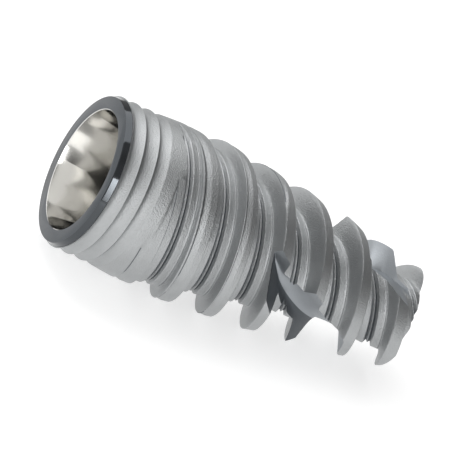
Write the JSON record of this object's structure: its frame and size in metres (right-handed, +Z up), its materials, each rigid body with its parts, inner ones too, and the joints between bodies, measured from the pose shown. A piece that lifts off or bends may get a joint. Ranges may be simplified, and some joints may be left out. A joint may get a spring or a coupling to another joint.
{
  "type": "dental implant",
  "caption": "Tapered self-tapping dental implant with a double-start thread, fine rings at the collar, spiral cutting flutes and a conical hex socket, lying on its side.",
  "frame": {"origin": "bottom centre of the box, on the surface that the implant lies on", "axes": "+X along the implant from its platform to its apex, +Z up, +Y away from the side that the picture shows"},
  "size_m": [0.0112, 0.005, 0.0051],
  "materials": {
    "blasted_titanium": "matte"
  },
  "bodies": {
    "root": {"implant_body": "blasted_titanium"}
  },
  "joints": []
}
